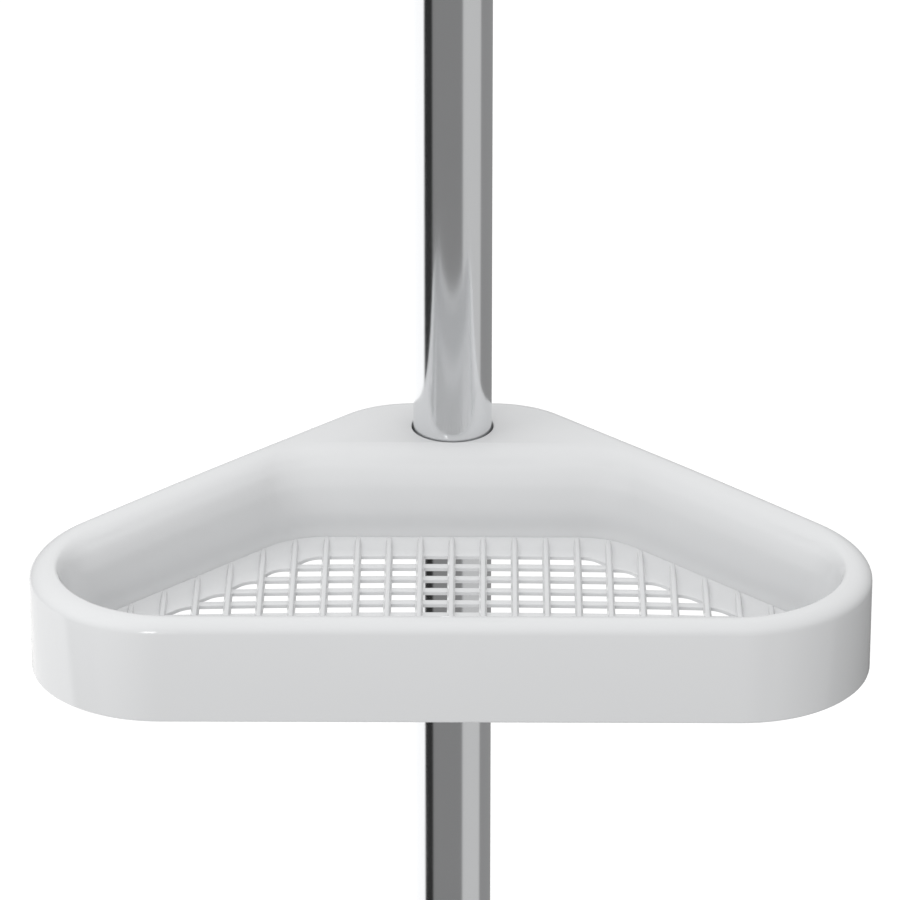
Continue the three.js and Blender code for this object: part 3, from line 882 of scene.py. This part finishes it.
# ---- Spring plunger ---------------------------------------------------------------------------
SPRING_TURNS = 8
SPRING_WIRE = 1.15          # wire radius
CLOSED_PITCH = 3.2          # rise of the closed coil at each end
SPRING_STEPS = 40           # steps in one turn
WIRE_SIDES = 12


def spring_height(turn, bottom, top):
    """Height of the wire's middle after some turns: a closed coil at each end, even pitch between."""
    open_turns = SPRING_TURNS - 2
    pitch = (top - bottom - 2 * CLOSED_PITCH) / open_turns
    closed = min(turn, 1) + max(turn - 1 - open_turns, 0)
    return bottom + CLOSED_PITCH * closed + pitch * min(max(turn - 1, 0), open_turns)


def make_spring():
    """The coil spring on its stop."""
    radius, bottom, top = turned_size("tension_spring")
    radius -= SPRING_WIRE + 0.05
    count = SPRING_TURNS * SPRING_STEPS
    vertices = []
    for i in range(count + 1):
        turn = i / SPRING_STEPS
        height = spring_height(turn, bottom + SPRING_WIRE, top - SPRING_WIRE)
        angle = 2 * math.pi * turn
        for across, along in arc(0, 0, SPRING_WIRE, 0, 360 - 360 / WIRE_SIDES, WIRE_SIDES - 1):
            reach = radius + across
            vertices.append((reach * math.cos(angle), reach * math.sin(angle), height + along))
    faces = []
    for i in range(count):
        for k in range(WIRE_SIDES):
            m = (k + 1) % WIRE_SIDES
            faces.append((i * WIRE_SIDES + k, (i + 1) * WIRE_SIDES + k,
                          (i + 1) * WIRE_SIDES + m, i * WIRE_SIDES + m))
    faces.append(tuple(range(WIRE_SIDES)))
    faces.append(tuple(reversed(range(count * WIRE_SIDES, (count + 1) * WIRE_SIDES))))
    piece = mesh_object("coil_spring", vertices, faces)
    smooth(piece)
    finish_piece(piece, "extension", "spring_steel", "tension_spring")
    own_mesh(piece)


def make_plunger():
    """The rod that carries the ceiling foot, with a head that the spring pushes on."""
    radius, bottom, top = turned_size("plunger")
    head = bottom + 5
    piece = turned("plunger_rod", rounded([
        (0, bottom),
        (radius, bottom),
        (radius, head),
        (PLUNGER_STEM, head),
        (PLUNGER_STEM, top),
        (0, top),
    ], 0.4))
    smooth(piece)
    finish_piece(piece, "ceiling_plunger", "spring_steel", "plunger")


def make_plunger_bush():
    """The bush that guides the plunger and caps the inner tube."""
    radius, bottom, top = turned_size("plunger_bush")
    inner_radius, _, inner_top = turned_size("inner_tube")
    sleeve = inner_radius - INNER_WALL - GAP
    dome = arc(radius - 2, top - 2, 2, 0, 90, 6)
    piece = turned("plunger_bush_cap", rounded([
        (STEM_SOCKET, bottom),
        (sleeve, bottom),
        (sleeve, inner_top + GAP),
        (radius, inner_top + GAP),
        *dome,
        (STEM_SOCKET, top),
    ], 0.25))
    smooth(piece, 40)
    finish_piece(piece, "extension", "white_gloss", "plunger_bush")


def make_ceiling_foot():
    """The bell-shaped foot on the plunger, wide end up."""
    radius, bottom, top = turned_size("ceiling_foot")
    stem_top = turned_size("plunger")[2]
    neck = STEM_SOCKET + 4.2
    flank = [(r, top + bottom - z) for r, z in bell(neck, radius - 1.2, bottom + 4, top - 2)]
    piece = turned("ceiling_foot_bell", rounded([
        (STEM_SOCKET, bottom),
        (neck - 0.8, bottom),
        (neck, bottom + 1),
        *reversed(flank),
        (radius, top - 3),
        (radius, top),
        (0, top),
        (0, stem_top + GAP),
        (STEM_SOCKET, stem_top + GAP),
    ], 0.4))
    smooth(piece, 40)
    finish_piece(piece, "ceiling_plunger", "white_gloss", "ceiling_foot")


def dress_hidden_nodes():
    """The CAD nodes inside the pole keep their shape and take a real finish."""
    finishes = {
        "foot_plug": "white_matte",
        "foot_screw": "spring_steel",
        "lock_collet": "white_matte",
        "guide_bush": "white_matte",
        "spring_stop": "white_matte",
    }
    for node, slot in finishes.items():
        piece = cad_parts[node]
        piece.data.materials.clear()
        piece.data.materials.append(MATERIALS[slot])


# ---- Studio -----------------------------------------------------------------------------------
# A plain room of cards stands round the pole and shows in the polished tube. Each one has the place
# where it starts, in degrees from straight ahead of the trays towards +X, and its light level.
CARDS = [
    (-180, 1.2),                # white wall behind and to the left
    (-90, 0.03),                # black flag, to draw the tube's left edge
    (-60, 0.25),                # grey room ahead
    (30, 0.6),                  # light card on the right
    (90, 0.3),                  # grey wall behind and to the right
]
CARD_EDGE = 3                   # half the soft edge of a card, in degrees
DOME_FADE = (-math.sin(math.radians(14)), -math.sin(math.radians(4)))
DOME_GLOSS = (0.40, 0.95)       # the dome's level in glossy surfaces, at the horizon and high up
FILL_HORIZON = 0.36             # light on matt surfaces from just above the horizon
FILL_HEIGHT = 1.07              # how much more comes from straight above
FILL_BELOW = 0.76               # light thrown up by the pale ground
FILL_AHEAD = 0.62               # how much more of it comes from straight ahead
FILL_LEFT = 1.10                # low light from the left, as a share
FILL_RIGHT = 0.25               # low light from the right, as a share
WHITE = (1, 1, 1, 1)


def card_ramp(tree, turn):
    """A ramp round the horizon, with one step for each card."""
    node = tree.nodes.new("ShaderNodeValToRGB")
    ramp = node.color_ramp
    ramp.interpolation = "LINEAR"
    ramp.elements[0].position = 0
    ramp.elements[0].color = grey(CARDS[0][1])
    ramp.elements[1].position = 1
    ramp.elements[1].color = grey(CARDS[-1][1])
    for (_, before), (angle, level) in zip(CARDS, CARDS[1:]):
        for side, shown in ((-CARD_EDGE, before), (CARD_EDGE, level)):
            ramp.elements.new((angle + side + 180) / 360).color = grey(shown)
    tree.links.new(turn, node.inputs["Fac"])
    return node.outputs["Color"]


def fill_light(tree, x, y, z):
    """Soft light on matt surfaces: strong from above, ahead and below, weak from the lower right."""
    above = math_node(tree, "ADD", math_node(tree, "MULTIPLY", z, FILL_HEIGHT), FILL_HORIZON)
    ahead = math_node(tree, "MINIMUM", y, 0.0)
    ahead = math_node(tree, "MULTIPLY", ahead, ahead)
    below = math_node(tree, "ADD", math_node(tree, "MULTIPLY", ahead, FILL_AHEAD), FILL_BELOW)
    raised = map_range(tree, z, -0.1, 0.15)
    gain = math_node(tree, "MULTIPLY", math_node(tree, "SUBTRACT", above, below), raised)
    level = math_node(tree, "ADD", below, gain)
    share = math_node(tree, "SUBTRACT", map_range(tree, x, -0.2, 0.95, FILL_LEFT, FILL_RIGHT), 1.0)
    low = map_range(tree, z, 0.3, -0.1)
    side = math_node(tree, "ADD", math_node(tree, "MULTIPLY", share, low), 1.0)
    return math_node(tree, "MULTIPLY", level, side)


def make_world():
    """An even white dome; polished surfaces see the studio's cards below the horizon."""
    world = bpy.data.worlds.new("studio")
    bpy.context.scene.world = world
    world.use_nodes = True
    tree = world.node_tree
    tree.nodes.clear()
    where = tree.nodes.new("ShaderNodeTexCoord")
    parts = tree.nodes.new("ShaderNodeSeparateXYZ")
    tree.links.new(where.outputs["Generated"], parts.inputs[0])
    x, y, z = parts.outputs
    azimuth = math_node(tree, "ARCTAN2", x, math_node(tree, "MULTIPLY", y, -1.0))
    turn = math_node(tree, "ADD", math_node(tree, "DIVIDE", azimuth, 2 * math.pi), 0.5)
    dome = map_range(tree, z, 0, 0.8, *DOME_GLOSS)
    seen = mix_colour(tree, map_range(tree, z, *DOME_FADE), card_ramp(tree, turn), dome)
    rays = tree.nodes.new("ShaderNodeLightPath")
    plain = mix_colour(tree, rays.outputs["Is Diffuse Ray"], WHITE, fill_light(tree, x, y, z))
    light = mix_colour(tree, rays.outputs["Is Glossy Ray"], plain, seen)
    background = tree.nodes.new("ShaderNodeBackground")
    output = tree.nodes.new("ShaderNodeOutputWorld")
    tree.links.new(light, background.inputs["Color"])
    tree.links.new(background.outputs[0], output.inputs[0])


FLOOR_REACH = 3e4               # half the floor's width


def make_floor():
    """A large pale floor, level with the bottom of the pad."""
    corners = [(x * FLOOR_REACH, y * FLOOR_REACH, 0) for x, y in ((-1, -1), (1, -1), (1, 1), (-1, 1))]
    floor = mesh_object("studio_floor", corners, [(0, 1, 2, 3)])
    material, tree, shader = new_material("studio_floor")
    mottled = mix_colour(tree, noise(tree, 3), (0.965, 0.965, 0.965, 1), (0.975, 0.975, 0.975, 1))
    tree.links.new(mottled, shader.inputs["Base Color"])
    shader.inputs["Roughness"].default_value = 1.0
    shader.inputs["Specular IOR Level"].default_value = 0.0
    floor.data.materials.append(material)
    floor.visible_glossy = False
    floor.visible_diffuse = False


def make_light(name, aim, offset, width, height, power):
    """A soft rectangular light at an offset from the point that it is aimed at."""
    data = bpy.data.lights.new(name, "AREA")
    data.shape = "RECTANGLE"
    data.size = width
    data.size_y = height
    data.energy = power
    light = bpy.data.objects.new(name, data)
    bpy.context.scene.collection.objects.link(light)
    light.location = aim + Vector(offset)
    light.rotation_mode = "QUATERNION"
    light.rotation_quaternion = Vector(offset).to_track_quat("Z", "Y")
    light.visible_camera = False
    return light


def make_lights():
    """A broad key on the left, soft light from ahead, and a small lamp for the rim's sparkle."""
    tray = Vector((0, -0.06, DECK_HEIGHTS["top"] * MM))
    corner = Vector((-0.091, -0.137, DECK_HEIGHTS["top"] * MM))
    key = make_light("key_light", tray, (-0.75, -0.25, 0.50), 0.5, 0.5, 1.6)
    key.visible_glossy = False
    front = make_light("front_light", tray, (-0.43, -1.95, 0.18), 0.4, 1.5, 5.2)
    front.visible_glossy = False
    sparkle = make_light("sparkle_light", corner, (-0.064, -0.341, 0.030), 0.06, 0.24, 0.008)
    sparkle.data.spread = math.radians(24)
    sparkle.visible_diffuse = False


def set_view():
    """Plain display of the light, without a film look."""
    scene = bpy.context.scene
    scene.view_settings.view_transform = "Standard"
    scene.view_settings.look = "None"


# ---- Build ------------------------------------------------------------------------------------
make_tube("outer_tube", "pole", OUTER_WALL)
make_tube("inner_tube", "extension", INNER_WALL)
make_shelves()
make_floor_foot()
make_pad("floor_pad", "pole", 0, 1)
make_lock_nut()
make_spring()
make_plunger()
make_plunger_bush()
make_ceiling_foot()
make_pad("ceiling_pad", "ceiling_plunger", extent("ceiling_pad")[1].z, -1)
dress_hidden_nodes()
make_world()
make_floor()
make_lights()
set_view()
